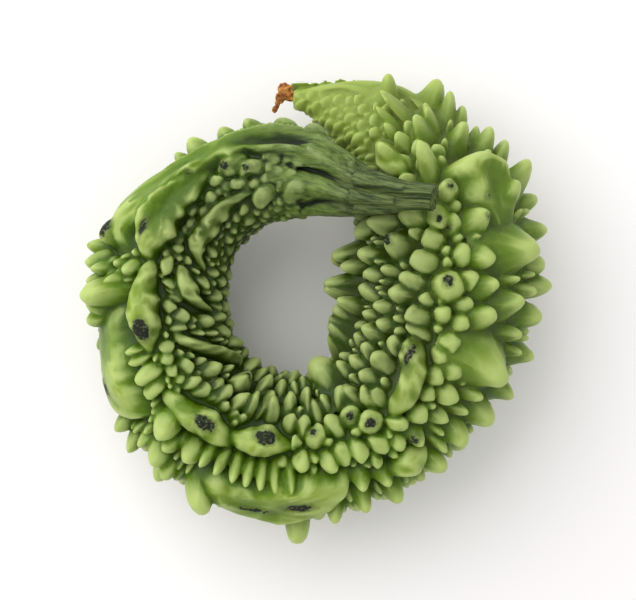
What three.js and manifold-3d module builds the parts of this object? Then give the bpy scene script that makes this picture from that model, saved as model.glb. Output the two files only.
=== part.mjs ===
// A bitter gourd, picked and laid on its side, that has grown curled nearly shut. It is read as a
// path once round a hole: the stalk lies on top of the far end, the neck comes down from it, the
// body goes round on the surface, and the blossom end tapers to a point beside the neck.
// Millimetres, +Z up. The origin is the middle of the footprint, on the surface it rests on.
import * as THREE from "three";
import { mergeVertices } from "three/addons/utils/BufferGeometryUtils.js";
import Module from "manifold-3d";

const wasm = await Module();
wasm.setup();

// Where the hole's middle stands in the footprint.
const HOLE = new THREE.Vector2(-4.7, 5.7);

// The curl's centre line from stalk to blossom end:
// turn round the hole in degrees, reach from its middle, height, and the radius of the skin.
const SPINE = [
  [32, 39.0, 46.5, 2.8],
  [41, 32.7, 43.5, 3.7],
  [54, 28.2, 38.0, 5.4],
  [70, 27.0, 32.0, 7.8],
  [90, 27.3, 26.5, 9.4],
  [110, 27.8, 22.5, 10.4],
  [130, 28.5, 19.5, 11.5],
  [150, 29.5, 18.0, 12.6],
  [180, 30.2, 18.0, 13.4],
  [210, 33.0, 18.4, 14.0],
  [240, 36.0, 18.6, 14.0],
  [270, 37.5, 18.8, 14.0],
  [300, 37.3, 19.2, 14.4],
  [330, 36.0, 20.2, 15.8],
  [360, 36.3, 20.8, 16.8],
  [385, 38.8, 20.3, 16.2],
  [405, 41.0, 18.8, 13.4],
  [420, 43.5, 17.5, 9.6],
  [435, 45.8, 16.5, 5.2],
  [449, 46.9, 16.0, 1.6],
];
const STALK_CUT = SPINE[0][0];
const STALK_ROOT = 45.6;
const NECK_START = 46.2;
const TIP = SPINE.at(-1)[0];

// How high the small warts stand along the curl. The skin is raised by the share that they fill.
const WARTS = [
  [32, 0.2],
  [70, 0.6],
  [100, 1.2],
  [150, 2.0],
  [180, 3.0],
  [240, 4.5],
  [330, 5.5],
  [400, 5.5],
  [415, 3.0],
  [430, 1.2],
  [449, 0.2],
];
const WART_FILL = 0.55;

// The long blisters and the big horns: turn, angle round the section (0 outwards, 90 on top,
// 180 into the hole), length along the curl, width, and height above the skin.
const BLISTERS = [
  [92, 50, 17, 6, 2.5],
  [113, 45, 17, 7, 3.2],
  [135, 45, 17, 7, 3.6],
  [153, 38, 14, 8, 5.0],
  [158, 20, 7, 7, 7.0],
  [140, 61, 14, 6, 3.6],
  [156, 67, 14, 8, 4.8],
  [92, 120, 14, 7, 2.2],
  [122, 108, 13, 6, 3.6],
  [150, 110, 15, 6.5, 4.6],
  [186, 76, 19, 9, 5.0],
  [199, 74, 9, 9, 5.4],
  [181, 119, 9, 5.5, 5.0],
  [199, 25, 15, 8, 5.4],
  [211, 14, 9, 8, 6.4],
  [213, 70, 7, 6, 4.6],
  [216, 128, 17, 6, 4.4],
  [229, 88, 15, 8, 5.4],
  [241, 90, 13, 8, 5.8],
  [260, 94, 12, 8, 5.8],
  [245, 142, 9, 6, 4.8],
  [250, 46, 13, 8, 5.2],
  [265, 44, 17, 10, 5.6],
  [280, 48, 14, 9, 5.2],
  [299, 150, 5, 6.5, 7.5],
  [327, 95, 16, 7, 6.2],
];
const HORNS = [
  [185, 8, 6, 7, 9.0],
  [281, 100, 6, 6, 6.5],
  [310, 55, 9, 8, 6.5],
  [302, 22, 9, 8, 7.5],
  [250, 8, 8, 8, 8.5],
  [271, 10, 7, 7, 10.5],
  [222, 12, 7, 7, 6.5],
  [234, 14, 7, 7, 6.5],
  [322, 18, 9, 7, 8.0],
  [341, 48, 13, 12, 9.0],
  [348, 10, 8, 7, 9.5],
  [361, 90, 9, 9, 7.0],
  [358, 36, 9, 8, 8.5],
  [372, 42, 11, 10, 9.0],
  [381, 12, 9, 8, 11.0],
  [391, 14, 8, 7, 11.0],
  [387, 62, 8, 8, 7.0],
  [396, 56, 13, 11, 9.5],
  [406, 82, 12, 6, 5.5],
  [413, 22, 9, 7, 6.0],
  [378, 90, 7, 7, 6.8],
  [377, 118, 10, 9, 7.0],
  [352, 121, 9, 9, 7.0],
  [345, 172, 8, 7, 6.5],
  [361, 176, 5, 5, 6.5],
  [384, 172, 5, 5, 6.0],
];
// Horns under the body that it stands on, cut flat by the surface.
const FEET = [150, 172, 195, 218, 241, 264, 287, 310, 333, 356, 378, 398];
const FOOT = { around: 270, length: 9, width: 9, reachBelow: 1.4 };

// Two mesh densities: along and round the sweep, and round a wart.
const SWEEP = { along: 76, round: 20 };
const LUMP_SIDES = 7;

const radians = THREE.MathUtils.degToRad;

// A smooth curve through rows of [knot, values...], read at t.
function smooth(rows, t) {
  const last = rows.length - 1;
  let k = 0;
  while (k < last - 1 && t > rows[k + 1][0]) k += 1;
  const slope = (i, c) => {
    const a = rows[Math.max(i - 1, 0)];
    const b = rows[Math.min(i + 1, last)];
    return (b[c] - a[c]) / (b[0] - a[0]);
  };
  const step = rows[k + 1][0] - rows[k][0];
  const u = THREE.MathUtils.clamp((t - rows[k][0]) / step, 0, 1);
  return rows[k].slice(1).map((value, i) => {
    const c = i + 1;
    return (
      (2 * u ** 3 - 3 * u ** 2 + 1) * value +
      (u ** 3 - 2 * u ** 2 + u) * slope(k, c) * step +
      (3 * u ** 2 - 2 * u ** 3) * rows[k + 1][c] +
      (u ** 3 - u ** 2) * slope(k + 1, c) * step
    );
  });
}

function centreLine(turn) {
  const [reach, height] = smooth(SPINE, turn);
  const a = radians(turn);
  return new THREE.Vector3(HOLE.x + reach * Math.cos(a), HOLE.y + reach * Math.sin(a), height);
}

// The point at a turn and an angle round the section, lifted above the bare skin.
function onSkin(turn, around, lift, share = 1) {
  const ahead = centreLine(Math.min(turn + 0.5, TIP));
  const behind = centreLine(Math.max(turn - 0.5, STALK_CUT));
  const along = ahead.sub(behind).normalize();
  const up = new THREE.Vector3(0, 0, 1).addScaledVector(along, -along.z).normalize();
  const out = new THREE.Vector3().crossVectors(along, up);
  const radius = (smooth(SPINE, turn)[2] + lift) * share;
  const a = radians(around);
  return centreLine(turn)
    .addScaledVector(out, radius * Math.cos(a))
    .addScaledVector(up, radius * Math.sin(a));
}

// A geometry with merged vertices and no empty triangles, each vertex moved by place(x, y, z).
function bend(geometry, place) {
  geometry.deleteAttribute("normal");
  geometry.deleteAttribute("uv");
  const merged = mergeVertices(geometry, 1e-4);
  const p = merged.attributes.position;
  for (let i = 0; i < p.count; i += 1) {
    const moved = place(p.getX(i), p.getY(i), p.getZ(i));
    p.setXYZ(i, moved.x, moved.y, moved.z);
  }
  const kept = [];
  for (let i = 0; i < merged.index.count; i += 3) {
    const [a, b, c] = [0, 1, 2].map((j) => merged.index.getX(i + j));
    if (a !== b && b !== c && c !== a) kept.push(a, b, c);
  }
  merged.setIndex(kept);
  return merged;
}

function solid(geometry) {
  return new wasm.Manifold(
    new wasm.Mesh({
      numProp: 3,
      vertProperties: new Float32Array(geometry.attributes.position.array),
      triVerts: new Uint32Array(geometry.index.array),
    }),
  );
}

// A closed tube along the curl from one turn to another, its radius set by lift(turn, around).
function sweep(from, to, along, round, lift) {
  const drum = new THREE.CylinderGeometry(1, 1, 1, round, along);
  return bend(drum, (x, y, z) => {
    const turn = from + (0.5 - y) * (to - from);
    const around = THREE.MathUtils.radToDeg(Math.atan2(-z, x));
    return onSkin(turn, around, lift(turn, around), Math.hypot(x, z));
  });
}

// One wart or blister: a domed turning, stretched along the curl and rooted in the skin.
const DOME = [
  [0, -0.3],
  [0.9, -0.3],
  [1, 0.1],
  [0.82, 0.55],
  [0.45, 0.9],
  [0, 1],
];
const HORN = [
  [0, -0.3],
  [1, -0.3],
  [1, 0.05],
  [0.62, 0.4],
  [0.3, 0.88],
  [0, 1],
];
function lump([turn, around, length, width, height], outline) {
  const turning = new THREE.LatheGeometry(
    outline.map(([r, h]) => new THREE.Vector2(r, h)),
    LUMP_SIDES,
  );
  const perDegree = onSkin(turn + 0.5, around, 0).distanceTo(onSkin(turn - 0.5, around, 0));
  const girth = smooth(SPINE, turn)[2] + height / 3;
  return bend(turning, (x, y, z) =>
    onSkin(
      THREE.MathUtils.clamp(turn + (x * length) / 2 / perDegree, NECK_START, TIP),
      around - THREE.MathUtils.radToDeg((z * width) / 2 / girth),
      y * height,
    ),
  );
}

function makeFruit() {
  const skin = sweep(NECK_START, TIP, SWEEP.along, SWEEP.round, (turn) => {
    return smooth(WARTS, turn)[0] * WART_FILL;
  });
  const feet = FEET.map((turn) => {
    const [, height, radius] = smooth(SPINE, turn);
    return [turn, FOOT.around, FOOT.length, FOOT.width, height - radius + FOOT.reachBelow];
  });
  const lumps = [
    ...BLISTERS.map((row) => lump(row, DOME)),
    ...HORNS.map((row) => lump(row, HORN)),
    ...feet.map((row) => lump(row, DOME)),
  ];
  const ground = new THREE.BoxGeometry(200, 200, 20);
  const surface = solid(bend(ground, (x, y, z) => new THREE.Vector3(x, y, z - 10)));
  return lumps.reduce((whole, g) => whole.add(solid(g)), solid(skin)).subtract(surface);
}

// The stalk: a ribbed stub, cut square across its far end.
function makeStalk() {
  const ribs = 7;
  const depth = 0.35;
  return solid(
    sweep(STALK_CUT, STALK_ROOT, 5, 28, (turn, around) => depth * Math.cos(radians(around * ribs))),
  );
}

// The withered flower at the tip: crumpled lumps and a thread, all one scrap.
function makeBlossom() {
  const tip = centreLine(TIP);
  const crumbs = [
    { at: [-1.7, 0.3, 0], size: [1.3, 1.5, 1.4] },
    { at: [-2.2, 1.8, 0.5], size: [1.9, 1.5, 1.5] },
    { at: [-3.1, -0.4, -0.2], size: [1.3, 1.7, 1.2] },
    { at: [-4.1, -1.9, -0.6], size: [0.9, 1.4, 0.9] },
    { at: [-4.9, -3.2, -1.0], size: [0.8, 1.1, 0.8] },
  ];
  return crumbs
    .map(({ at, size }) =>
      solid(
        bend(new THREE.IcosahedronGeometry(1, 1), (x, y, z) =>
          new THREE.Vector3(x * size[0], y * size[1], z * size[2])
            .add(new THREE.Vector3(...at))
            .add(tip),
        ),
      ),
    )
    .reduce((whole, crumb) => whole.add(crumb));
}

function toMesh(name, made, look) {
  const { vertProperties, triVerts } = made.getMesh();
  const geometry = new THREE.BufferGeometry();
  geometry.setAttribute("position", new THREE.BufferAttribute(vertProperties, 3));
  geometry.setIndex(new THREE.BufferAttribute(triVerts, 1));
  geometry.computeVertexNormals();
  const mesh = new THREE.Mesh(geometry, new THREE.MeshStandardMaterial(look));
  mesh.name = name;
  return mesh;
}

const gourd = new THREE.Group();
gourd.add(
  toMesh("fruit", makeFruit(), { color: 0x7fa63f, roughness: 0.45, metalness: 0 }),
  toMesh("stalk", makeStalk(), { color: 0x4c6b37, roughness: 0.7, metalness: 0 }),
  toMesh("dried_blossom", makeBlossom(), { color: 0xb5712e, roughness: 0.9, metalness: 0 }),
);
export default gourd;
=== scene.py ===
# A curled bitter gourd lying on its side: the fruit, the stub of its stalk and the withered flower.
import math
import random

import bmesh
import bpy
import numpy as np
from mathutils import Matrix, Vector, kdtree, noise


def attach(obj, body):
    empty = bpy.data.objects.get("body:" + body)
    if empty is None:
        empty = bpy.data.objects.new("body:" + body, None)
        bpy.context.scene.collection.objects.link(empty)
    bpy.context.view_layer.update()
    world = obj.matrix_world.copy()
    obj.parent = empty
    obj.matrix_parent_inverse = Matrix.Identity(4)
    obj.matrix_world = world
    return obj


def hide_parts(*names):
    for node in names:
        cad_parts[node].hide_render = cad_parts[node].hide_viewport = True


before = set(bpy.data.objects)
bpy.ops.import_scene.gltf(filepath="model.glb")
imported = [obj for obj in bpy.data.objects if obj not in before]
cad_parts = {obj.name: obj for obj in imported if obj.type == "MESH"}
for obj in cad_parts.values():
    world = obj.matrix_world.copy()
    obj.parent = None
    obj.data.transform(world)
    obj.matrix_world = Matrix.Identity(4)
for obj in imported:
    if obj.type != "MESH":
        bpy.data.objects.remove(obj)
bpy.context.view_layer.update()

# ---------------------------------------------------------------------------------------------
# The fruit. One piece that grew curled nearly shut: a wrinkled neck, a body covered with warts,
# and a blossom end that tapers to a point. Its skin is swept along the curl's centre line, the
# ridges, horns and warts are rooted in it, and one remesh grows them together.
# ---------------------------------------------------------------------------------------------
MM = 0.001

# Millimetres in the frame of the part: where the hole's middle stands, and the centre line as
# turn round the hole in degrees, reach from its middle, height, and radius of the bare skin.
HOLE = Vector((-4.7, 5.7, 0))
SPINE = [
    (32, 39.0, 46.5, 2.8),
    (41, 32.7, 43.5, 3.7),
    (54, 28.2, 38.0, 5.4),
    (70, 27.0, 32.0, 7.8),
    (90, 27.3, 26.5, 9.4),
    (110, 27.8, 22.5, 10.4),
    (130, 28.5, 19.5, 11.5),
    (150, 29.5, 18.0, 12.6),
    (180, 30.2, 18.0, 13.4),
    (210, 33.0, 18.4, 14.0),
    (240, 36.0, 18.6, 14.0),
    (270, 37.5, 18.8, 14.0),
    (300, 37.3, 19.2, 14.4),
    (330, 36.0, 20.2, 15.8),
    (360, 36.3, 20.8, 16.8),
    (385, 38.8, 20.3, 16.2),
    (405, 41.0, 18.8, 13.4),
    (420, 43.5, 17.5, 9.6),
    (435, 45.8, 16.5, 5.2),
    (449, 46.9, 16.0, 1.6),
]
STALK_CUT = SPINE[0][0]
NECK_START = 45.8
TIP = SPINE[-1][0]
# The centre line's direction is measured over this many degrees to each side.
DIRECTION_SPAN = 0.5

# Along the curl: how high its small warts stand, and how far apart they grow.
WARTS = [
    (32, 0.2, 1.6),
    (70, 0.6, 1.8),
    (100, 1.4, 2.5),
    (130, 2.0, 2.9),
    (150, 2.4, 3.0),
    (180, 3.0, 3.2),
    (210, 3.6, 3.4),
    (240, 4.2, 3.5),
    (270, 4.5, 3.6),
    (300, 4.4, 4.2),
    (330, 4.8, 4.8),
    (360, 5.6, 5.0),
    (390, 5.2, 4.9),
    (405, 4.4, 4.2),
    (413, 2.6, 3.2),
    (426, 1.1, 2.4),
    (449, 0.5, 2.3),
]


def smooth(rows, t):
    """A smooth curve through rows of (knot, values...), read at t."""
    k = 0
    while k < len(rows) - 2 and t > rows[k + 1][0]:
        k += 1
    step = rows[k + 1][0] - rows[k][0]
    u = min(max((t - rows[k][0]) / step, 0), 1)

    def slope(i, c):
        a, b = rows[max(i - 1, 0)], rows[min(i + 1, len(rows) - 1)]
        return (b[c] - a[c]) / (b[0] - a[0])

    return [
        (2 * u**3 - 3 * u**2 + 1) * rows[k][c]
        + (u**3 - 2 * u**2 + u) * slope(k, c) * step
        + (3 * u**2 - 2 * u**3) * rows[k + 1][c]
        + (u**3 - u**2) * slope(k + 1, c) * step
        for c in range(1, len(rows[0]))
    ]


def centre_line(turn):
    reach, height, _ = smooth(SPINE, turn)
    a = math.radians(turn)
    return HOLE + Vector((reach * math.cos(a), reach * math.sin(a), height))


def measure_section(turn):
    """The section's middle, its directions along, outwards and up, and its radius."""
    ahead = centre_line(min(turn + DIRECTION_SPAN, TIP))
    behind = centre_line(max(turn - DIRECTION_SPAN, STALK_CUT))
    along = (ahead - behind).normalized()
    up = (Vector((0, 0, 1)) - along * along.z).normalized()
    return centre_line(turn), along, along.cross(up), up, smooth(SPINE, turn)[2]


SECTIONS_PER_DEGREE = 2
SECTIONS = [
    measure_section(STALK_CUT + i / SECTIONS_PER_DEGREE)
    for i in range((TIP - STALK_CUT) * SECTIONS_PER_DEGREE + 1)
]


def section(turn):
    """The same as measure_section, read between the sections that are kept."""
    place = (min(max(turn, STALK_CUT), TIP) - STALK_CUT) * SECTIONS_PER_DEGREE
    i = min(int(place), len(SECTIONS) - 2)
    u = place - i
    a, b = SECTIONS[i], SECTIONS[i + 1]
    return [a[j].lerp(b[j], u) for j in range(4)] + [a[4] * (1 - u) + b[4] * u]


# The neck's folds and grooves: the turns where each starts and ends, the angle round the section
# at both, the half width in degrees, and the height in millimetres. A groove is below zero.
FOLDS = [
    (38, 92, 92, 75, 9, -2.6),
    (38, 96, 68, 63, 14, 1.5),
    (76, 110, 46, 46, 9, -3.0),
    (56, 116, 28, 26, 10, 2.2),
    (40, 86, 117, 110, 14, 1.5),
    (40, 76, 140, 148, 8, -1.4),
    (40, 104, 170, 174, 12, 1.2),
    (40, 104, 205, 212, 12, 1.0),
    (40, 106, 252, 248, 13, 1.2),
    (38, 106, 298, 300, 12, 1.1),
    (38, 106, 338, 342, 12, 1.1),
    (38, 80, 8, 6, 8, -0.9),
    (122, 160, 58, 57, 6, 1.6),
]
# A fold dies out over this many degrees, and is full where the bare skin has this radius or more.
FOLD_EASE = 14
FOLD_SHARPNESS = 1.5
FULL_FOLD_RADIUS = 8
# Fine fibres run along the stalk and fade out on the neck.
FIBRE_HEIGHT = 0.55
FIBRE_END = 105
FIBRES_ROUND = 5
FIBRE_DEGREES = 22

# Where the body is fuller or drawn in: turn, angle, spread along and round in degrees, height.
SWELLINGS = [
    (362, 12, 32, 36, 2.6),
    (136, 8, 20, 40, -1.6),
    (92, 8, 16, 44, 1.4),
    (424, 5, 13, 60, 1.8),
    (434, 160, 12, 55, 1.8),
]


def angle_between(a, b):
    return (a - b + 180) % 360 - 180


def fold_lift(turn, around):
    """How far the neck's folds and the body's swellings raise the skin."""
    total = 0
    for middle, side, spread, side_spread, height in SWELLINGS:
        off = angle_between(around, side) / side_spread
        total += height * math.exp(-(((turn - middle) / spread) ** 2) - off**2)
    for start, end, around_start, around_end, half_width, height in FOLDS:
        u = (turn - start) / (end - start)
        ease = min(max((end - turn) / FOLD_EASE, 0), 1)
        if u < 0 or ease <= 0:
            continue
        middle = around_start + (around_end - around_start) * u
        off = angle_between(around, middle)
        share = min(smooth(SPINE, turn)[2] / FULL_FOLD_RADIUS, 1)
        total += height * share * ease * math.exp(-abs(off / half_width) ** FOLD_SHARPNESS)
    if turn < FIBRE_END:
        a = math.radians(around)
        grain = Vector((math.cos(a) * FIBRES_ROUND, math.sin(a) * FIBRES_ROUND, turn / FIBRE_DEGREES))
        total += FIBRE_HEIGHT * noise.noise(grain) * (FIBRE_END - turn) / (FIBRE_END - STALK_CUT)
    return total


def direction(turn, around):
    """Straight out of the section, at an angle round it: 0 outwards, 90 on top, 180 into the hole."""
    _, _, out, up, _ = section(turn)
    a = math.radians(around)
    return out * math.cos(a) + up * math.sin(a)


def on_skin(turn, around, lift):
    """The point, in millimetres, at a lift above the bare skin."""
    middle, _, out, up, radius = section(turn)
    a = math.radians(around)
    return middle + (out * math.cos(a) + up * math.sin(a)) * (radius + lift)


# The ridges: long swellings of the skin. Each has its outline, how far its crest is pushed round
# the section, and its stations: turn, angle round the section, width, and height.
RIDGES = [
    ("slab", -1, [
        (60, 50, 6, 0.9), (84, 50, 6, 1.8), (104, 51, 5.5, 3.0), (121, 52, 6, 4.0), (139, 49, 7.5, 4.4),
        (150, 42, 12, 4.6), (158, 35, 17, 4.8), (166, 34, 16, 4.4),
    ]),
    ("slab", 0, [
        (117, 67, 3.5, 2.0), (132, 71, 6, 4.2), (143, 72, 7.4, 5.0), (155, 71, 9, 5.4),
        (168, 73, 7, 4.2),
    ]),
    ("roll", 0, [(101, 68, 4, 2.2), (110, 70, 5.4, 3.0), (116, 71, 4, 2.4)]),
    ("roll", 0, [(94, 81, 4, 1.8), (101, 81, 5, 2.6), (107, 81, 4, 2.0)]),
    ("roll", 0, [
        (102, 111, 3, 2.0), (114, 111, 4.2, 3.2), (126, 111, 5, 4.0), (138, 113, 5.4, 4.4),
        (152, 113, 5.4, 4.8), (161, 121, 4.6, 4.4), (168, 131, 3, 3.4),
    ]),
    ("roll", 0, [
        (167, 107, 3.6, 3.2), (176, 112, 5, 4.6), (183, 119, 5, 5.0), (188, 132, 4.2, 4.6),
        (191, 144, 2.6, 3.4),
    ]),
    ("roll", 0, [(89, 118, 4, 1.4), (96, 122, 5.8, 2.2), (104, 125, 4, 1.6)]),
    ("roll", 0, [(70, 112, 4, 0.6), (77, 122, 6, 1.1), (84, 132, 4, 0.8)]),
    ("roll", 0, [
        (168, 77, 5, 3.4), (178, 77, 7, 4.4), (189, 77, 8.8, 5.2), (199, 79, 7.6, 5.2),
        (206, 79, 4.5, 3.6),
    ]),
    ("slab", -4, [
        (184, 44, 8, 1.4), (192, 40, 12, 1.8), (202, 36, 14, 2.4), (210, 31, 15, 3.8),
        (217, 36, 13, 3.6), (224, 48, 7, 2.6),
    ]),
    ("roll", 0, [
        (199, 103, 3.6, 3.2), (205, 112, 5.4, 4.4), (210, 124, 5.6, 4.6), (217, 139, 5, 4.4),
        (224, 151, 4.4, 4.0), (232, 162, 3, 3.0),
    ]),
    ("roll", 0, [(232, 132, 4, 3.6), (239, 137, 6.4, 5.2), (246, 140, 4, 3.6)]),
    ("roll", 0, [
        (220, 75, 4.5, 3.0), (229, 82, 6.5, 4.6), (238, 87, 7.6, 5.6), (245, 86, 7.2, 5.4),
        (251, 84, 4.4, 4.0),
    ]),
    ("roll", 0, [
        (247, 90, 4.4, 3.6), (254, 93, 7, 5.2), (261, 96, 7.8, 5.8), (268, 96, 5.6, 4.8),
        (272, 95, 4, 3.6),
    ]),
    ("slab", -3, [
        (244, 47, 6, 3.6), (252, 49, 9, 5.2), (262, 51, 10.5, 6.0), (272, 53, 10.5, 6.0),
        (281, 58, 9, 5.4), (288, 62, 5, 4.0),
    ]),
    ("roll", 0, [(298, 46, 5, 4.4), (304, 46, 7, 5.8), (311, 45, 5, 4.6)]),
    ("roll", 0, [(310, 88, 5, 5.4), (320, 92, 7, 6.6), (331, 99, 7.4, 7.2), (342, 106, 5.4, 5.6)]),
    ("slab", -4, [
        (371, 55, 3, 1.5), (379, 58, 6, 3.5), (386, 61, 9, 6), (393, 64, 11, 8.5), (397, 65, 10, 9),
    ]),
    ("roll", 0, [(400, 102, 4.4, 3.8), (408, 104, 5.8, 4.8), (417, 106, 4.6, 3.8)]),
    ("roll", 0, [(424, 44, 1.6, 0.7), (436, 45, 2.6, 1.1), (448, 46, 1.4, 0.5)]),
    ("roll", 0, [(412, 15, 3, 1.6), (426, 20, 4, 1.8), (440, 22, 2.4, 0.8)]),
]

# The horns: shape, turn, angle round the section, length along the curl, width, height above the
# skin, and how far the tip leans along the curl and level outwards, all in millimetres.
HORNS = [
    ("horn", 182, 40, 8, 9, 8.5, 2, 3),
    ("tooth", 186, 28, 8, 7, 6, 1, 2),
    ("tooth", 167, 4, 5, 4.5, 7.5, 1, -1),
    ("tooth", 171, 12, 6, 5, 7, 2, 0),
    ("tooth", 190, 20, 6, 6, 5.5, 2, 0),
    ("tooth", 174, 24, 4, 4, 6, 1, 1),
    ("tooth", 178, 14, 5, 4, 6, 1.5, 0),
    ("tooth", 178, 48, 4, 4, 5, 1, 2),
    ("horn", 246, 30, 9, 9, 9, 3, 0),
    ("horn", 272, 8, 7, 8, 9.5, 1, -1),
    ("tooth", 229, 66, 7, 8, 6, 1, 3),
    ("tooth", 233, 36, 7, 7, 6.5, 2, 1),
    ("tooth", 237, 30, 6, 6, 6.5, 2, 1),
    ("tooth", 234, 56, 5, 5, 5.5, 1, 2),
    ("tooth", 240, 62, 6, 6, 5.5, 1, 2),
    ("tooth", 221, 8, 5, 6, 6.0, 2, 0),
    ("tooth", 226, 6, 5, 6, 6.5, 2, 0),
    ("tooth", 236, 6, 6, 6, 6.5, 2, 0),
    ("cone", 309, 28, 8, 8, 7, 0, 0),
    ("peak", 291, 54, 7, 7, 6, 0, 1),
    ("peak", 297, 48, 7, 7, 6, 0, 1),
    ("cone", 282, 28, 6, 7, 7, 0, 0),
    ("cone", 289, 32, 6, 7, 7, 0, 0),
    ("cone", 297, 25, 7, 7, 7, 0, 0),
    ("peak", 341, 54, 17, 19, 8.5, -1.5, 5),
    ("cone", 160, 17, 11, 10, 6, 1.5, -1),
    ("peak", 345, 8, 9, 9, 6.5, 0, 0),
    ("peak", 335, 14, 9, 9, 6.5, 0, 0),
    ("cone", 327, 25, 9, 9, 7, 0, 0),
    ("cone", 319, 35, 8, 8, 7, 0, 0),
    ("cone", 352, 64, 8, 8, 6.5, 2, 1.5),
    ("peak", 357, 48, 11, 11, 6.5, 1.5, 3.5),
    ("peak", 361, 66, 9.5, 9, 6.5, 2, 2.5),
    ("horn", 361, 89, 8.5, 8.5, 6.5, 0, 0),
    ("cone", 357, 120, 7, 8, 7, 0, 1),
    ("peak", 373, 44, 17, 18, 8, -0.5, 5),
    ("tooth", 363, 10, 6, 6, 7, 1, 0),
    ("cone", 355, 18, 8, 8, 6, 0, 0),
    ("cone", 371, 67, 8, 8, 6.5, 0, 1),
    ("cone", 380, 68, 8.5, 8.5, 6.5, 1, 1.5),
    ("peak", 377, 6, 10, 10, 7, 0.5, 0),
    ("cone", 369, 14, 8, 8, 5.5, 0, 0),
    ("cone", 383, 2, 7, 7, 7, 1.5, 0),
    ("cone", 384, 38, 9, 9, 7.5, 2.5, 1),
    ("cone", 386, 14, 10, 9, 8.5, 5, 0),
    ("cone", 392, 11, 8, 8, 7, 5, -1),
    ("horn", 389, 79, 6.5, 6, 6, 2, 0),
    ("tooth", 386, 92, 6, 6, 6.5, -4, 0.5),
    ("cone", 374, 122, 10, 7, 7, 2, 2),
    ("horn", 395, 82, 9, 5.5, 6, 8, -0.5),
    ("horn", 404, 103, 8, 5, 5, 6.5, 0),
    ("cone", 407, 62, 7, 7, 5.5, 4.5, -2),
    ("cone", 408, 49, 6, 6, 5.5, 4, -2),
    ("tooth", 416, 76, 6, 3, 3.5, 5.5, -1.5),
    ("horn", 415, 56, 9, 4.5, 4, 7.5, -3),
    ("cone", 424, 38, 6, 6, 5, 3, 0),
    ("cone", 415, 9, 9, 8, 7, 3.5, 0),
    ("cone", 409, 16, 7, 7, 6.5, 4.5, -1),
    ("cone", 405, 8, 7, 7, 6, 4, -2),
    ("cone", 396, 21, 8, 7, 7, 5, -1),
    ("cone", 400, 6, 6, 6, 4.5, 3, -1),
    ("cone", 401, 40, 7, 7, 6, 4, 0),
    ("tooth", 397, 71, 4, 3.4, 4, 2, 0),
    ("tooth", 391, 56, 4, 3.6, 4.5, 2, 0),
    ("tooth", 414, 84, 5, 3, 3, 3, -1.5),
    ("tooth", 123, 10, 6, 5, 5.5, 1, 0),
    ("tooth", 130, 4, 4, 4, 4.5, 1, 0),
    ("tooth", 112, 8, 5, 5, 4.0, 1, 0),
    ("tooth", 102, 10, 5, 5, 3.4, 1, 0),
    ("tooth", 90, 14, 6, 4, 2.4, 1, 0),
    ("tooth", 81, 4, 6, 5, 3.0, 1, 0),
    ("cone", 295, 150, 12, 12, 8, 1, 3),
    ("cone", 339, 170, 8, 8, 9, 0, -2),
    ("cone", 351, 170, 7, 7, 12, 1, -2),
    ("cone", 346, 160, 6, 6, 10, 0, -2),
    ("cone", 331, 172, 8, 8, 9, 0, -2),
    ("cone", 322, 170, 7, 7, 9, 1, -2),
    ("cone", 313, 172, 7, 7, 8, 1, -2),
    ("cone", 361, 170, 7, 7, 12, -1, -2),
    ("cone", 368, 164, 6, 6, 9, 0, -2),
    ("cone", 379, 170, 7, 7, 10.5, -1, -2),
    ("cone", 371, 176, 6, 6, 10, 0, -2),
    ("cone", 373, 146, 7, 7, 8, 0, 0),
]

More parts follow.
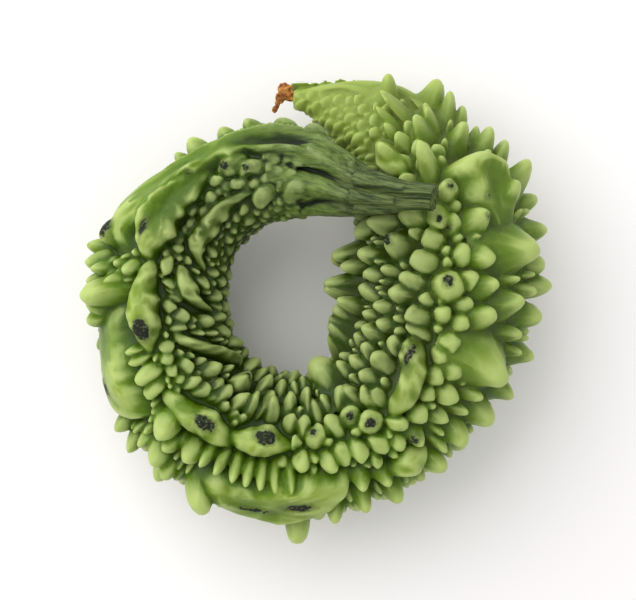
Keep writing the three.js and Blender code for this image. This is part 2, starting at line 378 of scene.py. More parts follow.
# The pegs that stand out among the small warts: turn, angle, width along the curl, and round it.
PEGS = [
    (77, 15, 4, 3), (101, 15, 4, 4), (117, 15, 4, 4), (122, 12, 5, 5), (130, 8, 4, 4),
    (126, 65, 5, 4.4), (117, 77, 4.4, 3.4), (107, 93, 4.4, 3.2), (133, 81, 3.2, 3.2),
    (124, 93, 3.8, 3.8), (136, 89, 3, 3), (131, 99, 3.6, 3.6), (141, 97, 2.8, 3.2),
    (146, 96, 2.6, 2.8), (152, 94, 2.8, 3.4), (158, 96, 3, 3.2), (168, 92, 6, 3.4),
    (171, 105, 3, 3.2), (176, 97, 2.2, 4.8), (179, 101, 2.2, 4.4), (183, 103, 2.2, 4.2),
    (187, 97, 3.2, 3.6), (192, 107, 3.8, 3.8), (198, 105, 3.2, 3.6), (204, 93, 2.6, 4.2),
    (209, 91, 3.3, 3.6), (212, 73, 5, 7), (217, 73, 4.4, 6), (214, 91, 3, 3),
    (215, 101, 4.4, 3), (218, 93, 2.8, 2.8), (203, 66, 2.6, 6), (206, 68, 2.6, 6),
    (222, 99, 3, 4.8), (227, 103, 4, 4.2), (229, 113, 2.6, 4.4), (235, 113, 3, 5.4),
    (244, 115, 3.4, 5.6), (250, 117, 3.3, 6.6), (255, 125, 2.6, 6), (261, 119, 3.4, 5.2),
    (264, 143, 3, 6), (269, 127, 3.2, 5.6), (279, 129, 3, 6.4), (283, 121, 3, 5),
    (272, 95, 3.4, 3.6), (280, 98, 5, 5.4), (274, 84, 4.4, 5), (276, 108, 3.4, 4.4),
    (289, 103, 4.2, 4.4), (297, 104, 4.6, 4.6), (303, 93, 6.6, 6.0), (288, 82, 4.6, 5.0),
    (294, 80, 4.2, 5.0), (301, 77, 4.6, 5.4), (283, 80, 4.2, 5.0), (310, 83, 5.0, 5.2),
    (317, 77, 5.2, 5.2), (325, 118, 5.6, 5.4), (316, 118, 4.6, 4.6), (334, 112, 4.8, 5.0),
    (342, 103, 5.0, 5.0), (349, 104, 5.4, 5.4), (351, 90, 4.6, 4.6), (343, 81, 4.8, 4.8),
    (338, 84, 4.0, 4.0), (350, 79, 4.4, 4.4), (330, 82, 4.6, 4.8), (324, 80, 4.4, 4.6),
    (334, 72, 4.6, 4.6), (327, 68, 4.8, 5.0), (320, 60, 5.0, 5.2), (304, 118, 4.2, 5.6),
    (297, 120, 4.2, 5.6), (309, 108, 4.4, 4.8), (312, 104, 4.0, 4.4), (335, 135, 4.8, 5.6),
    (328, 145, 4.4, 5.4), (325, 132, 4.4, 5.2), (318, 135, 4.2, 5.4), (363, 76, 4.4, 4.6),
    (361, 110, 4.8, 5.0), (369, 103, 5.2, 5.4), (376, 97, 5.0, 5.0), (371, 80, 5.0, 5.0),
    (380, 84, 5.0, 5.0), (385, 105, 6.0, 6.2), (388, 66, 4.4, 4.4), (399, 70, 4.4, 4.4),
    (403, 96, 4.2, 4.4), (409, 85, 4.2, 4.2), (411, 68, 4.2, 4.2), (412, 57, 4.0, 4.0),
    (412, 40, 4.4, 4.6), (424, 15, 4.4, 3.6), (427, 80, 2.8, 2.8), (432, 75, 2.2, 2.2),
]
# A row of long teeth along the outer shoulder, hanging over the ridge below it.
SHOULDER_TURNS = (245, 249.5, 254, 258, 262, 266, 270.5)
for shoulder_turn in SHOULDER_TURNS:
    HORNS.append(("tooth", shoulder_turn, 72, 3.2, 5.5, 5.5, 0.2, 4.5))

# The corky scars: turn, angle, half length along the curl and half width, in millimetres.
SCARS = [
    (162, 20, 2.2, 1.8), (156, 66, 2.2, 0.8), (111, 70, 1.1, 0.9), (101, 81, 1.1, 0.9),
    (126, 62, 0.6, 0.5), (137, 8, 0.8, 0.8), (168, 2, 0.8, 0.8), (197, 77, 2.6, 1.9),
    (212, 14, 2.2, 1.4), (238, 88, 2.6, 1.5), (261, 98, 2.3, 1.7), (280, 104, 1.0, 0.8),
    (262, 38, 3.4, 0.7), (273, 46, 3.2, 1.1), (221, 3, 0.8, 0.8), (226, 2, 0.8, 0.8),
    (236, 2, 0.8, 0.8), (246, 22, 1.2, 0.7), (297, 106, 1.0, 0.8), (303, 94, 1.3, 1.2),
    (310, 62, 1.2, 0.6), (334, 102, 2.2, 0.9), (341, 42, 1.3, 1.2), (363, 90, 1.4, 1.0),
    (373, 30, 0.8, 0.8), (364, 4, 1.4, 1.4), (386, 58, 0.7, 0.6), (381, 63, 0.5, 0.5),
    (380, 87, 0.6, 0.5), (380, 125, 1.2, 0.8), (309, 24, 1.0, 0.9), (265, 2, 0.7, 0.7),
    (276, 2, 0.7, 0.7), (241, 139, 1.2, 0.5), (391, 78, 0.9, 0.6), (383, 92, 0.7, 0.6),
]

# Each kind of wart as an outline of (share of its half width, share of its height), foot to tip.
OUTLINES = {
    "kernel": [
        (0, -0.5), (0.9, -0.5), (0.97, 0), (1, 0.3), (0.93, 0.58), (0.74, 0.8), (0.42, 0.95), (0, 1),
    ],
    "tooth": [
        (0, -0.4), (0.94, -0.4), (1, -0.02), (1, 0.2), (0.92, 0.42), (0.76, 0.64), (0.52, 0.83),
        (0.26, 0.95), (0, 1),
    ],
    "cone": [
        (0, -0.3), (1.5, -0.3), (1.25, -0.03), (1.0, 0.12), (0.82, 0.3), (0.7, 0.48), (0.59, 0.66),
        (0.46, 0.82), (0.27, 0.95), (0, 1),
    ],
    "peak": [
        (0, -0.5), (1.15, -0.5), (1.05, -0.1), (0.86, 0.12), (0.68, 0.32), (0.53, 0.5), (0.41, 0.68),
        (0.3, 0.84), (0.17, 0.95), (0, 1),
    ],
    "horn": [
        (0, -0.3), (1.2, -0.3), (1.08, 0), (0.95, 0.2), (0.86, 0.42), (0.77, 0.64), (0.63, 0.84),
        (0.36, 0.97), (0, 1),
    ],
}
ROUNDED = [
    (math.sin(math.radians(a)) ** 0.8, math.cos(math.radians(a)) ** 0.9) for a in range(90, 0, -9)
]
RIDGE_OUTLINES = {
    "roll": [(0, -0.4), (0.94, -0.4)] + ROUNDED + [(0, 1)],
    "slab": [
        (0, -0.4), (1.05, -0.4), (1.06, 0), (1, 0.3), (0.97, 0.62), (0.93, 0.84), (0.85, 0.96),
        (0.74, 1), (0.58, 0.97), (0.36, 0.91), (0.15, 0.88), (0, 0.87),
    ],
}
WART_SIDES = 14
RIDGE_SIDES = 56


def turned(name, outline, sides):
    """A wart's mesh, one unit high and one across its half width, turned from its outline."""
    wart = bmesh.new()
    points = [wart.verts.new((share, 0, height)) for share, height in outline]
    edges = [wart.edges.new(pair) for pair in zip(points, points[1:])]
    bmesh.ops.spin(
        wart,
        geom=points + edges,
        axis=(0, 0, 1),
        cent=(0, 0, 0),
        angle=math.tau,
        steps=sides,
        use_merge=True,
    )
    bmesh.ops.remove_doubles(wart, verts=wart.verts, dist=1e-4)
    bmesh.ops.recalc_face_normals(wart, faces=wart.faces)
    mesh = bpy.data.meshes.new(name)
    wart.to_mesh(mesh)
    wart.free()
    return mesh


shapes = {name: turned(name, outline, WART_SIDES) for name, outline in OUTLINES.items()}
ridge_shapes = {name: turned(name, outline, RIDGE_SIDES) for name, outline in RIDGE_OUTLINES.items()}

# How squarely a crowded wart fills its cell, and how nearly in front a neighbour has to be to
# crowd it. Then how many keels run down a wart's sides, and how far they stand out.
CROWDING = 5
LEAST_FACING = 0.15
KEELS = 4
KEEL = 0.06
# The most that a wart is turned, in radians, and bent, as a share of its width.
MOST_WOBBLE = 0.4
MOST_BEND = 0.12
# How fast the level lean swings over from the outer flank to the inner one, and the deepest root.
FLANK_SWING = 4
DEEPEST_ROOT = 4
# How a ridge wavers along its length: its width and height as shares, its course in millimetres,
# a finer waver of both width and height, and the degrees of turn that a wave of each kind takes.
WIDTH_WAVER = 0.25
HEIGHT_WAVER = 0.16
COURSE_WAVER = 0.8
BROAD_DEGREES = 8
FINE_WAVER = 0.1
FINE_DEGREES = 3
# How square a ridge's ends are.
END_SQUARENESS = 0.2

chance = random.Random(7)
skin = bmesh.new()
tone = skin.verts.layers.float.new("tone")
rooted = skin.verts.layers.float.new("rooted")
grown_at = skin.verts.layers.float.new("grown_at")


def grow(mesh, place, turn_at):
    """Adds a copy of a wart's mesh to the skin, each vertex moved by place(x, y, z)."""
    first = len(skin.verts)
    wart_tone = chance.uniform(-1, 1)
    skin.from_mesh(mesh)
    skin.verts.ensure_lookup_table()
    for vertex in skin.verts[first:]:
        vertex[tone] = wart_tone
        vertex[rooted] = vertex.co.z
        vertex[grown_at] = turn_at(vertex.co.x)
        vertex.co = place(*vertex.co) * MM


def plant(shape, turn, around, length, width, height, lean_along, lean_level, cell=()):
    """Roots one wart in the skin, leaning along the curl and level outwards, as shares of its
    height. A cell says how far it may reach towards each of its neighbours."""
    _, along, out, _, _ = section(turn)
    outward = direction(turn, around)
    girthwise = outward.cross(along) * -1
    root = on_skin(turn, around, fold_lift(turn, around))
    level = out * math.tanh(FLANK_SWING * math.cos(math.radians(around)))
    axis = (outward + along * lean_along + level * lean_level).normalized() * height
    wobble = chance.uniform(-MOST_WOBBLE, MOST_WOBBLE)
    bend = chance.uniform(-MOST_BEND, MOST_BEND) * width

    def place(x, y, z):
        angle = math.atan2(y, x)
        crowd = 1
        for way, room in cell:
            facing = math.cos(angle - way)
            if facing > LEAST_FACING:
                crowd += (facing / room) ** CROWDING
        reach = crowd ** (-1 / CROWDING)
        high = min(max(z, 0), 1)
        reach *= 1 + KEEL * math.cos(KEELS * (angle + wobble)) * min(high * 2, 1)
        foot = root + along * (x * reach * length / 2) + girthwise * (y * reach * width / 2)
        foot += along * (bend * high**2)
        return foot + (axis * z if z > 0 else outward * (z * min(height, DEEPEST_ROOT)))

    grow(shapes[shape], place, lambda x: turn)


def lay_ridge(shape, crest, stations):
    """Lays a long swelling along the skin through its stations, its crest pushed round a little."""
    start, end = stations[0][0], stations[-1][0]
    seed = chance.uniform(0, 50)

    def turn_at(x):
        return min(max(start + (end - start) * (x + 1) / 2, NECK_START), TIP)

    def place(x, y, z):
        turn = turn_at(x)
        around, width, height = smooth(stations, turn)
        girth = math.radians(1) * (section(turn)[4] + height / 3)
        squarer = max(1 - x * x, 0.03) ** -END_SQUARENESS
        broad = noise.noise(Vector((turn / BROAD_DEGREES, y, seed)))
        fine = noise.noise(Vector((turn / FINE_DEGREES, y * 2, seed + 9)))
        across = y * squarer * (1 + WIDTH_WAVER * broad + FINE_WAVER * fine) * width / 2
        across += crest * max(z, 0)
        across += COURSE_WAVER * broad
        side = around + across / girth
        lift = z * height
        if z > 0:
            lift *= 1 + HEIGHT_WAVER * broad + FINE_WAVER * fine
        return on_skin(turn, side, lift + fold_lift(turn, side))

    grow(ridge_shapes[shape], place, turn_at)


# The bare skin: a drum along the curl, closed at both ends.
SKIN_ROUND = 96
SKIN_ALONG = 330
# The neck's end is tucked under the stalk: by how much, and over how many degrees.
NECK_TUCK = 1.2
NECK_FADE = 7


def add_drum(form, sides, cuts):
    """A closed drum of radius 1 from -1 to 1 along z, cut into rings."""
    bmesh.ops.create_cone(form, cap_ends=True, segments=sides, radius1=1, radius2=1, depth=2)
    lengthwise = [e for e in form.edges if abs(e.verts[0].co.z - e.verts[1].co.z) > 1]
    bmesh.ops.subdivide_edges(form, edges=lengthwise, cuts=cuts, use_grid_fill=True)


add_drum(skin, SKIN_ROUND, SKIN_ALONG)
for vertex in skin.verts:
    vertex_turn = NECK_START + (vertex.co.z + 1) / 2 * (TIP - NECK_START)
    vertex_around = math.degrees(math.atan2(vertex.co.y, vertex.co.x))
    vertex[rooted] = 0
    vertex[grown_at] = vertex_turn
    tucked = max(1 - (vertex_turn - NECK_START) / NECK_FADE, 0)
    lift = fold_lift(vertex_turn, vertex_around) - NECK_TUCK * tucked
    vertex.co = on_skin(vertex_turn, vertex_around, lift) * MM

# The ridges and horns first, and the ground that each one takes up, as middles and radii.
ground = []
DEGREES_PER_STEP = 3
RIDGE_GROUND = 0.5
HORN_GROUND = 0.8


def take(turn, around, radius):
    ground.append((*on_skin(turn, around, 0), radius))


for shape, crest, stations in RIDGES:
    lay_ridge(shape, crest, stations)
    steps = int((stations[-1][0] - stations[0][0]) / DEGREES_PER_STEP) + 1
    for i in range(steps):
        x = (i + 0.5) / steps * 2 - 1
        turn = stations[0][0] + (stations[-1][0] - stations[0][0]) * (x + 1) / 2
        around, width, _ = smooth(stations, turn)
        take(turn, around, width * RIDGE_GROUND * (1 - x * x) ** 0.3)
for shape, turn, around, length, width, height, lean_along, lean_level in HORNS:
    slant = math.hypot(1, lean_along / height, lean_level / height)
    plant(
        shape, turn, around, length, width, height * slant, lean_along / height, lean_level / height
    )
    take(turn, around, (length + width) / 4 * HORN_GROUND)

# Small warts crowd together over the rest of the skin: round ones on top, and ones drawn out round
# the section on its shoulders and flanks. How much they are drawn out changes along the curl.
STRETCH = [
    (100, 1.1), (180, 1.3), (225, 1.7), (280, 1.7), (305, 1.35), (360, 1.2), (400, 1.4), (420, 1.9),
    (449, 1.5),
]


class Wart:
    """A small wart's place, its frame there, and the half width that it would like to have."""

    def __init__(self, turn, around, radius, stretch):
        self.turn, self.around, self.radius, self.stretch = turn, around, radius, stretch
        along = section(turn)[1]
        outward = direction(turn, around)
        girthwise = outward.cross(along) * -1
        self.middle = np.array(on_skin(turn, around, 0))
        self.axes = np.array([along, girthwise / stretch, outward])

    def offsets(self, places):
        """Where other places stand from it, in its own frame, with its stretch taken out."""
        return (places - self.middle) @ self.axes.T


def stretch_at(turn, around):
    top = math.sin(math.radians(around)) ** 4
    return 1 + (smooth(STRETCH, turn)[0] - 1) * (1 - top)


# On the outer flank of the thick end the warts stand wider apart, and on the inner side closer.
# Both sides are angles round the section, and the flank's pass through 0.
THICK_END = 310
OUTER_FLANK = (330, 60)
FLANK_SPACING = 1.3
INNER_SIDE = (120, 240)
INNER_SPACING = 0.85
# Small warts grow between these turns, but on the neck only along its top and inner side.
FIRST_WART = 78
LAST_WART = 447
NECK_END = 104
NECK_SIDE = (70, 180)
# Large warts are tried first. Each row has a share of the full spacing, and how often it's tried.
PACKING = ((1.25, 1500), (1.0, 8000), (0.82, 8000), (0.66, 12000), (0.52, 12000), (0.4, 14000))
# How near two warts may stand, as a share of their radii together, and how many there may be.
NEARNESS = 0.86
MOST_PLACES = 6000

warts = []
for turn, around, length, width in PEGS:
    warts.append(Wart(turn, around, length / 2, width / length))
places = np.zeros((MOST_PLACES, 4))
places[: len(ground)] = ground
held = len(ground)
for wart in warts:
    places[held] = (*wart.middle, wart.radius * math.sqrt(wart.stretch))
    held += 1
for share, tries in PACKING:
    for _ in range(tries):
        turn = chance.uniform(FIRST_WART, LAST_WART)
        around = chance.uniform(0, 360)
        if turn < NECK_END and not NECK_SIDE[0] < around < NECK_SIDE[1]:
            continue
        spacing = smooth(WARTS, turn)[1]
        if INNER_SIDE[0] < around < INNER_SIDE[1]:
            spacing *= INNER_SPACING
        if turn > THICK_END and (around > OUTER_FLANK[0] or around < OUTER_FLANK[1]):
            spacing *= FLANK_SPACING
        wart = Wart(turn, around, spacing / 2 * share, stretch_at(turn, around))
        away = np.linalg.norm(wart.offsets(places[:held, :3]), axis=1)
        if np.all(away > (places[:held, 3] + wart.radius) * NEARNESS):
            places[held] = (*wart.middle, wart.radius * math.sqrt(wart.stretch))
            held += 1
            warts.append(wart)

# How far the small warts lean at each turn: along the curl, and level away from it on its outer
# and its inner side.
LEAN = [
    (90, 0.2, 0.1, 0.2), (140, 0.4, 0.25, 0.6), (190, 0.4, 0.5, 1.0), (225, 0.4, 0.9, 1.0),
    (250, 0.25, 1.1, 1.0), (280, 0.1, 1.1, 1.0), (320, 0.0, 0.6, 1.0), (360, 0.15, 0.35, 1.0),
    (385, 0.5, 0.3, 0.9), (400, 0.9, 0.1, 0.8), (425, 0.9, 0.0, 0.4), (449, 0.6, 0.0, 0.2),
]
LEAN_CHANCE_ALONG = 0.12
LEAN_CHANCE_LEVEL = 0.15
# How far a wart may outgrow its radius, how far neighbours press into each other, and how many
# radii away a neighbour still counts.
MOST_GROWTH = 1.6
OVERLAP = 1.16
NEIGHBOURHOOD = 6
# Warts stand taller on the shoulders and where they are wide for their place, and lower
# underneath, and no two quite alike.
PLAIN_RISE = 0.85
SHOULDER_RISE = 0.45
SLIM_RISE = 0.55
WIDE_RISE = 0.45
WIDEST = 1.6
UNDERSIDE_LOSS = 0.2
RISE_CHANCE = (0.85, 1.12)
# They are kernels along the top, cones on the outer flank from this turn on, and teeth elsewhere.
KERNEL_TOP = 0.8
CONES_START = 300
for wart in warts:
    off = wart.offsets(places[:held, :3])
    away = np.linalg.norm(off, axis=1)
    near = np.where((away > 1e-6) & (away < wart.radius * NEIGHBOURHOOD))[0]
    wish = wart.radius * math.sqrt(wart.stretch)
    cell = [
        (
            math.atan2(off[j, 1], off[j, 0]),
            away[j] * OVERLAP * wish / (wish + places[j, 3]) / (wart.radius * MOST_GROWTH),
        )
        for j in near
    ]
    height, spacing = smooth(WARTS, wart.turn)
    lean_along, lean_outer, lean_inner = smooth(LEAN, wart.turn)
    lean_level = lean_outer if math.cos(math.radians(wart.around)) > 0 else lean_inner
    top = max(math.sin(math.radians(wart.around)), 0) ** 2
    below = max(-math.sin(math.radians(wart.around)), 0)
    size = 2 * wish / spacing
    shoulder = 1 - abs(2 * top - 1)
    rise = height * (PLAIN_RISE + SHOULDER_RISE * shoulder)
    rise *= SLIM_RISE + WIDE_RISE * min(size, WIDEST)
    rise *= chance.uniform(*RISE_CHANCE)
    rise *= 1 - UNDERSIDE_LOSS * below**2
    width = wart.radius * MOST_GROWTH * 2
    outer_flank = wart.turn > CONES_START and math.cos(math.radians(wart.around)) > 0
    plant(
        "kernel" if top > KERNEL_TOP else "cone" if outer_flank else "tooth",
        wart.turn,
        wart.around,
        width,
        width * wart.stretch,
        rise,
        lean_along + chance.uniform(-LEAN_CHANCE_ALONG, LEAN_CHANCE_ALONG),
        lean_level + chance.uniform(-LEAN_CHANCE_LEVEL, LEAN_CHANCE_LEVEL),
        cell,
    )

# What each vertex knows of its wart, kept in a tree so that the grown skin can look it up. The
# roots are left out, below this share of a wart's height.
DEEPEST_KEPT = -0.05
source = kdtree.KDTree(len(skin.verts))
tones = [vertex[tone] for vertex in skin.verts]
shares = [max(vertex[rooted], 0) for vertex in skin.verts]
turns = [vertex[grown_at] for vertex in skin.verts]
for i, vertex in enumerate(skin.verts):
    if vertex[rooted] > DEEPEST_KEPT:
        source.insert(vertex.co, i)
source.balance()


def add_object(name, form):
    """Turns a bmesh into an object of the scene."""
    data = bpy.data.meshes.new(name)
    form.to_mesh(data)
    form.free()
    made = bpy.data.objects.new(name, data)
    bpy.context.scene.collection.objects.link(made)
    return made


fruit = add_object("fruit_skin", skin)

# The remesh grows the warts and the skin together, and the decimation keeps the piece light.
VOXEL = 0.28 * MM
MOST_TRIANGLES = 190000
SOFTENING = 4


def bake_modifiers(obj):
    depsgraph = bpy.context.evaluated_depsgraph_get()
    baked = bpy.data.meshes.new_from_object(obj.evaluated_get(depsgraph))
    obj.modifiers.clear()
    obj.data = baked


def finish_mesh(obj, voxel, smoothing, most_triangles):
    remesh = obj.modifiers.new("grow_together", "REMESH")
    remesh.mode = "VOXEL"
    remesh.voxel_size = voxel
    soften = obj.modifiers.new("soften", "SMOOTH")
    soften.factor = 0.5
    soften.iterations = smoothing
    bake_modifiers(obj)
    triangles = sum(len(p.vertices) - 2 for p in obj.data.polygons)
    if triangles > most_triangles:
        thin = obj.modifiers.new("thin", "DECIMATE")
        thin.ratio = most_triangles / triangles
        bake_modifiers(obj)
    obj.data.shade_smooth()


finish_mesh(fruit, VOXEL, SOFTENING, MOST_TRIANGLES)
# Nothing hangs below the surface that it rests on.
GROUND = 0.02 * MM
for vertex in fruit.data.vertices:
    vertex.co.z = max(vertex.co.z, GROUND)

# What the material reads at each point: how proud it stands of the skin around it, broadly and
# keenly, its wart's tone, how far up its wart it is, how far it is from the nearest scar and from
# the hole's middle, its turn, and where it would be if the fruit had grown straight.
mesh = fruit.data
count = len(mesh.vertices)
points = np.zeros(count * 3)
mesh.vertices.foreach_get("co", points)
points = points.reshape(-1, 3)
normals = np.zeros(count * 3)
mesh.vertices.foreach_get("normal", normals)
normals = normals.reshape(-1, 3)
edges = np.zeros(len(mesh.edges) * 2, dtype=int)
mesh.edges.foreach_get("vertices", edges)
edges = edges.reshape(-1, 2)
ends = np.concatenate([edges[:, 0], edges[:, 1]])
others = np.concatenate([edges[:, 1], edges[:, 0]])
neighbours = np.bincount(ends, minlength=count)


def level_out(values, rounds):
    """The values after that many rounds of taking the mean of each vertex's neighbours."""
    for _ in range(rounds):
        values = np.bincount(ends, weights=values[others], minlength=count) / neighbours
    return values


def proudness(rounds):
    """How far each vertex stands out of the mesh smoothed that many times, in millimetres."""
    level = np.stack([level_out(points[:, c], rounds) for c in range(3)], axis=1)
    return ((points - level) * normals).sum(axis=1) / MM


def set_values(name, values):
    values_there = mesh.attributes.new(name, "FLOAT", "POINT")
    values_there.data.foreach_set("value", np.asarray(values, dtype=np.float32))


# How many rounds each value is levelled by, and how many vertices of the warts it is read from.
PROUD_ROUNDS = 36
KEEN_ROUNDS = 4
TONE_ROUNDS = 16
NEAREST = 3
LEAST_DISTANCE = 0.1 * MM
set_values("proud", proudness(PROUD_ROUNDS))
set_values("keen", proudness(KEEN_ROUNDS))
wart_tones = np.zeros(count)
wart_shares = np.zeros(count)
wart_turns = np.zeros(count)
for i, vertex in enumerate(mesh.vertices):
    found = source.find_n(vertex.co, NEAREST)
    weights = [1 / (distance + LEAST_DISTANCE) for _, _, distance in found]
    wart_tones[i] = tones[found[0][1]]
    wart_shares[i] = sum(w * shares[j] for w, (_, j, _) in zip(weights, found)) / sum(weights)
    wart_turns[i] = sum(w * turns[j] for w, (_, j, _) in zip(weights, found)) / sum(weights)
set_values("tone", level_out(wart_tones, TONE_ROUNDS))
set_values("share", level_out(wart_shares, TONE_ROUNDS))

# Scars colour the skin up to this far around and this deep, in millimetres.
SCAR_REACH = 4
SCAR_DEPTH = 6
scar_edge = np.full(count, float(SCAR_REACH))
for turn, around, half_length, half_width in SCARS:
    _, along, _, _, _ = section(turn)
    outward = direction(turn, around)
    girthwise = outward.cross(along) * -1
    middle = on_skin(turn, around, smooth(WARTS, turn)[0]) * MM
    off = (points - np.array(middle)) / MM
    reach = np.sqrt(
        (off @ np.array(along) / half_length) ** 2
        + (off @ np.array(girthwise) / half_width) ** 2
        + (off @ np.array(outward) / SCAR_DEPTH) ** 2
    )
    scar_edge = np.minimum(scar_edge, (reach - 1) * min(half_length, half_width))
set_values("scar", scar_edge)

set_values("from_hole", np.hypot(points[:, 0] / MM - HOLE.x, points[:, 1] / MM - HOLE.y))
set_values("turn", wart_turns)
line = np.array([list(row[0]) for row in SECTIONS]) * MM
nearest = np.rint((wart_turns - STALK_CUT) * SECTIONS_PER_DEGREE).astype(int)
nearest = nearest.clip(0, len(SECTIONS) - 1)
line_length = np.concatenate([[0], np.cumsum(np.linalg.norm(np.diff(line, axis=0), axis=1))])
outs = np.array([list(row[2]) for row in SECTIONS])[nearest]
ups = np.array([list(row[3]) for row in SECTIONS])[nearest]
from_line = points - line[nearest]
straight = np.stack(
    [line_length[nearest], (from_line * outs).sum(axis=1), (from_line * ups).sum(axis=1)], axis=1
)
straight_there = mesh.attributes.new("straight", "FLOAT_VECTOR", "POINT")
straight_there.data.foreach_set("vector", straight.astype(np.float32).ravel())


class Field:
    """A value that varies over a surface. Its operators add the Math nodes of an expression."""

    def __init__(self, tree, socket=None):
        self.tree = tree
        self.socket = socket

    def node(self, kind, settings=None, inputs=None, output=0):
        """Adds a node, sets it up, feeds its sockets with values or fields, and gives an output."""
        made = self.tree.nodes.new("ShaderNode" + kind)
        for name, value in (settings or {}).items():
            setattr(made, name, value)
        for name, value in (inputs or {}).items():
            if isinstance(value, Field):
                self.tree.links.new(value.socket, made.inputs[name])
            else:
                made.inputs[name].default_value = value
        return Field(self.tree, made.outputs[output])

    def math(self, operation, *values):
        return self.node("Math", {"operation": operation}, dict(enumerate(values)))

    def __add__(self, other):
        return self.math("ADD", self, other)

    def __radd__(self, other):
        return self.math("ADD", other, self)

    def __sub__(self, other):
        return self.math("SUBTRACT", self, other)

    def __rsub__(self, other):
        return self.math("SUBTRACT", other, self)

    def __mul__(self, other):
        return self.math("MULTIPLY", self, other)

    def __rmul__(self, other):
        return self.math("MULTIPLY", other, self)

    def step(self, low, high):
        """0 below low, 1 above high, and smooth between."""
        return self.node(
            "MapRange",
            {"interpolation_type": "SMOOTHSTEP"},
            {"Value": self, "From Min": low, "From Max": high},
        )

    def attribute(self, name, output=2):
        return self.node("Attribute", {"attribute_name": name}, {}, output)

    def noise(self, vector, scale, detail=3, roughness=0.55):
        inputs = {"Vector": vector, "Scale": scale, "Detail": detail, "Roughness": roughness}
        return self.node("TexNoise", {}, inputs)

    def blend(self, first, second):
        """A colour from first, where this value is 0, to second, where it is 1."""
        colours = [c if isinstance(c, Field) else (*c, 1) for c in (first, second)]
        inputs = {0: self, 6: colours[0], 7: colours[1]}
        return self.node("Mix", {"data_type": "RGBA"}, inputs, 2)

    def streaks(self):
        """Fibres along the curl: a noise drawn out along the fruit as if it had grown straight."""
        inputs = {"Vector": self.attribute("straight", 1), "Scale": (0.1, 1, 1)}
        return self.noise(self.node("Mapping", {}, inputs), 1100, 4, 0.65)


def new_material(name, **constants):
    """A Principled material with its constant sockets set, and a field to build its nodes from."""
    material = bpy.data.materials.new(name)
    material.use_nodes = True
    shader = material.node_tree.nodes["Principled BSDF"]
    for socket, value in constants.items():
        shader.inputs[socket.replace("_", " ")].default_value = value
    return material, shader, Field(material.node_tree)


def feed(shader, **fields):
    for socket, field in fields.items():
        shader.id_data.links.new(field.socket, shader.inputs[socket.replace("_", " ")])


def rgb(red, green, blue):
    """A linear colour from its 0 to 255 display values."""
    return tuple(
        c / 255 / 12.92 if c <= 10 else ((c / 255 + 0.055) / 1.055) ** 2.4 for c in (red, green, blue)
    )


STALK_DARK = rgb(36, 52, 22)
STALK_PALE = rgb(104, 120, 68)


def make_skin_material():
    material, shader, field = new_material(
        "gourd_skin",
        IOR=1.4,
        Specular_IOR_Level=0.32,
        Subsurface_Weight=0.15,
        Subsurface_Scale=0.002,
        Subsurface_Radius=(0.6, 1.0, 0.2),
    )
    place = field.node("TexCoord", output=3)
    proud = field.attribute("proud")
    keen = field.attribute("keen")
    share = field.attribute("share")
    turn = field.attribute("turn")
    tone = field.attribute("tone")
    scar = field.attribute("scar")
    from_hole = field.attribute("from_hole")
    cloud = field.noise(place, 110, 4)
    blotch = field.noise(place, 330, 3)
    speck = field.noise(place, 1400, 3, 0.6)
    streak = field.streaks()

    # Dark green between warts to pale tips: partly their own colour, partly painted shade in the
    # creases.
    end = turn.step(392, 440)
    high = 0.3 + share * 0.25 + proud * 0.34 + (cloud - 0.5) * 0.3 + (blotch - 0.5) * 0.3
    high = high + (speck - 0.5) * 0.25 + tone * 0.05
    body = high.step(0.0, 0.7).blend(rgb(44, 68, 2), rgb(82, 114, 8))
    body = high.step(0.45, 1.4).blend(body, rgb(132, 157, 46))
    pale_side = turn.step(285, 340) * (1 - end)
    body = (pale_side * 0.2).blend(body, rgb(122, 142, 72))
    # Painted highlight mask: where the skin stands keenly proud, on sharp edges and keels.
    painted_edge_highlight = keen.step(0.02, 0.5)
    # Painted shade: the skin darkens towards the hole's middle, on the inner side of the curl.
    painted_hole_shade = from_hole.step(38, 28)
    body = (painted_hole_shade * 0.75).blend(body, rgb(30, 50, 2))
    # Painted highlight: the sharp edges and keels are paled as if catching the light.
    body = (painted_edge_highlight * 0.65).blend(body, rgb(188, 204, 126))
    body = (end * 0.6).blend(body, rgb(158, 176, 82))

    # The neck, which dries towards the stalk.
    neck = (turn + (streak - 0.5) * 30).step(122, 74)
    neck_body = streak.step(0.3, 0.7).blend(rgb(54, 76, 26), rgb(108, 130, 58))
    # Painted shade: the neck's grooves, lower than the skin round them, are darkened nearly to black.
    neck_body = (proud + (streak - 0.5) * 0.4).step(0.15, -0.6).blend(neck_body, rgb(14, 24, 8))
    # Painted highlight on the neck's sharp edges.
    neck_body = painted_edge_highlight.blend(neck_body, rgb(134, 150, 92))
    stalk_body = streak.step(0.35, 0.68).blend(STALK_DARK, STALK_PALE)
    neck_body = turn.step(66, 52).blend(neck_body, stalk_body)
    body = neck.blend(body, neck_body)

    # The corky scars and their bruised rims.
    scar_edge = scar + (field.noise(place, 700, 3) - 0.5) * 1.6
    scarred = scar_edge.step(0.25, -0.15)
    rim = scar_edge.step(1.0, 0.2)
    cork = speck.step(0.5, 0.68).blend(rgb(26, 32, 18), rgb(92, 98, 66))
    body = (rim * 0.5).blend(body, rgb(70, 88, 34))
    body = scarred.blend(body, cork)

    roughness = 0.3 + 0.16 * cloud + 0.3 * scarred + 0.1 * (speck - 0.5) + 0.14 * neck
    pits = field.noise(place, 2600, 2)
    height = 0.7 * blotch + 0.45 * speck + 0.25 * pits + 1.6 * neck * streak - 0.8 * scarred
    bump = field.node("Bump", {}, {"Strength": 0.45, "Distance": 0.0003, "Height": height})
    feed(shader, Base_Color=body, Roughness=roughness, Normal=bump)
    return material


fruit.data.materials.append(make_skin_material())
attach(fruit, "root")
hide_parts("fruit")

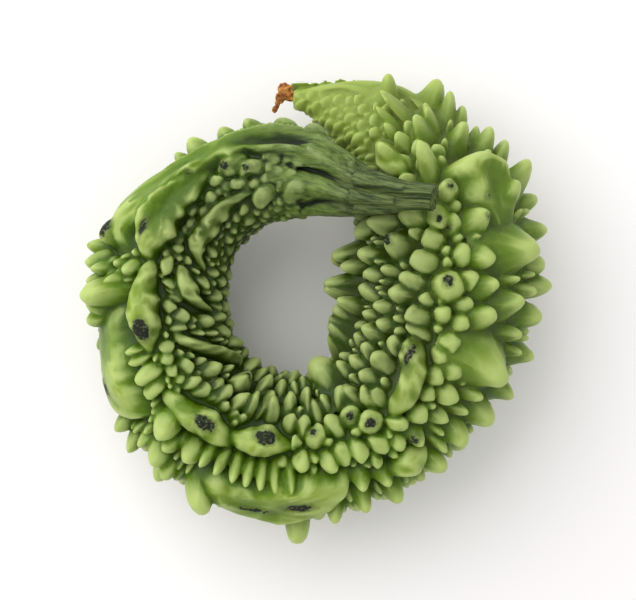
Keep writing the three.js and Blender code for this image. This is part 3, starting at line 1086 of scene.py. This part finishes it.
# ---------------------------------------------------------------------------------------------
# The stalk. The stub that the fruit hung on: dark green, ribbed and fibrous, cut square across.
# It is swept on along the same centre line from inside the neck to the cut.
# ---------------------------------------------------------------------------------------------
STALK_ROOT = 53
STALK_SIDES = 144
STALK_CUTS = 90
# The cut end: its rim, how far it flares, how hollow it has dried, and the millimetres of centre
# line in a degree of turn there.
RIM = 0.12
FLARE = 0.3
HOLLOW = 0.25
MM_PER_DEGREE = 0.5

stub = bmesh.new()
grown_straight = stub.verts.layers.float_vector.new("straight")
add_drum(stub, STALK_SIDES, STALK_CUTS)
for cap in [f for f in stub.faces if len(f.verts) > 4]:
    bmesh.ops.inset_region(stub, faces=[cap], thickness=RIM, depth=0)
for vertex in stub.verts:
    turn = STALK_CUT + (1 - vertex.co.z) / 2 * (STALK_ROOT - STALK_CUT)
    around = math.degrees(math.atan2(vertex.co.y, vertex.co.x))
    share = math.hypot(vertex.co.x, vertex.co.y)
    middle, along, out, up, radius = section(turn)
    flare = FLARE * math.exp(-((turn - STALK_CUT) ** 2) / 2)
    a = math.radians(around)
    from_middle = (radius + fold_lift(turn, around) + flare) * share
    outwards = from_middle * math.cos(a)
    upwards = from_middle * math.sin(a)
    hollow = HOLLOW * (1 - share) if turn == STALK_CUT else 0
    vertex.co = (middle + out * outwards + up * upwards + along * hollow) * MM
    vertex[grown_straight] = Vector((turn * MM_PER_DEGREE, outwards, upwards)) * MM
bmesh.ops.recalc_face_normals(stub, faces=stub.faces)
stalk = add_object("stalk_stub", stub)
stalk.data.shade_smooth()


def make_stalk_material():
    material, shader, field = new_material("stalk_fibre", IOR=1.4, Specular_IOR_Level=0.25)
    streak = field.streaks()
    colour = streak.step(0.35, 0.68).blend(STALK_DARK, STALK_PALE)
    bump = field.node("Bump", {}, {"Strength": 0.6, "Distance": 0.0004, "Height": streak})
    feed(shader, Base_Color=colour, Roughness=0.5 + 0.25 * streak, Normal=bump)
    return material


stalk.data.materials.append(make_stalk_material())
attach(stalk, "root")
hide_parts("stalk")

# ---------------------------------------------------------------------------------------------
# The withered flower. A crumpled scrap of dry orange-brown petals still held at the blossom end,
# with a thread hanging from it. Crushed balls are grown together by a remesh.
# ---------------------------------------------------------------------------------------------
# Each ball's middle, from the fruit's tip, and its half sizes, in millimetres.
CRUMBS = [
    ((-0.6, 0.1, 0.0), (1.2, 1.3, 1.2)),
    ((-1.9, 0.5, 0.1), (1.4, 1.6, 1.3)),
    ((-2.2, 2.0, 0.5), (1.6, 1.4, 1.2)),
    ((-3.2, -0.2, -0.2), (1.2, 1.3, 1.0)),
    ((-3.9, -1.6, -0.6), (0.6, 1.2, 0.6)),
    ((-4.6, -3.0, -1.0), (0.7, 0.8, 0.7)),
]
CRUSH = 0.45
PETAL_VOXEL = 0.14 * MM
PETAL_SOFTENING = 2
MOST_PETAL_TRIANGLES = 30000
flower = bmesh.new()
tip_point = centre_line(TIP)
for middle, size in CRUMBS:
    middle = Vector(middle)
    made = bmesh.ops.create_icosphere(flower, subdivisions=3, radius=1)
    for vertex in made["verts"]:
        crush = 1 + CRUSH * noise.noise(vertex.co * 1.7 + middle * 3)
        x, y, z = vertex.co
        vertex.co = (Vector((x * size[0], y * size[1], z * size[2])) * crush + middle + tip_point) * MM
blossom = add_object("withered_flower", flower)
finish_mesh(blossom, PETAL_VOXEL, PETAL_SOFTENING, MOST_PETAL_TRIANGLES)


def make_blossom_material():
    material, shader, field = new_material("dry_petal", IOR=1.4, Roughness=0.8)
    place = field.node("TexCoord", output=3)
    patch = field.noise(place, 600, 4)
    colour = patch.step(0.35, 0.65).blend(rgb(112, 58, 22), rgb(214, 148, 74))
    crumple = field.noise(place, 2500, 3)
    bump = field.node("Bump", {}, {"Strength": 0.6, "Distance": 0.0003, "Height": crumple})
    feed(shader, Base_Color=colour, Normal=bump)
    return material


blossom.data.materials.append(make_blossom_material())
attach(blossom, "root")
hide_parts("dried_blossom")

# ---------------------------------------------------------------------------------------------
# The studio. A pale surface, soft light from the upper left, and a camera straight above.
# ---------------------------------------------------------------------------------------------
FLOOR_HALF_SIZE = 3
surface = bmesh.new()
bmesh.ops.create_grid(surface, x_segments=1, y_segments=1, size=FLOOR_HALF_SIZE)
floor = add_object("pale_surface", surface)
floor_material, _, _ = new_material(
    "matte_white", Roughness=0.9, Base_Color=(*rgb(250, 247, 247), 1)
)
floor.data.materials.append(floor_material)

world = bpy.data.worlds.new("soft_room")
bpy.context.scene.world = world
world.use_nodes = True
room_light = world.node_tree.nodes["Background"]
room_light.inputs["Color"].default_value = (1, 1, 1, 1)
room_light.inputs["Strength"].default_value = 0.78

window_light = bpy.data.lights.new("window", "AREA")
window_light.size = 1.3
window_light.energy = 9.6
window = bpy.data.objects.new("window", window_light)
window.location = (-0.55, 0.5, 0.6)
window.rotation_euler = (-window.location).to_track_quat("-Z", "Y").to_euler()
bpy.context.scene.collection.objects.link(window)

# The camera looks straight down, a little to the side of the hole's middle.
CAMERA_FROM_HOLE = Vector((6.72, -2.4, 470))
camera_data = bpy.data.cameras.new("from_above")
camera_data.lens = 106
camera_data.sensor_width = 36
camera = bpy.data.objects.new("from_above", camera_data)
camera.location = (HOLE + CAMERA_FROM_HOLE) * MM
bpy.context.scene.collection.objects.link(camera)
bpy.context.scene.camera = camera
bpy.context.scene.view_settings.view_transform = "Standard"
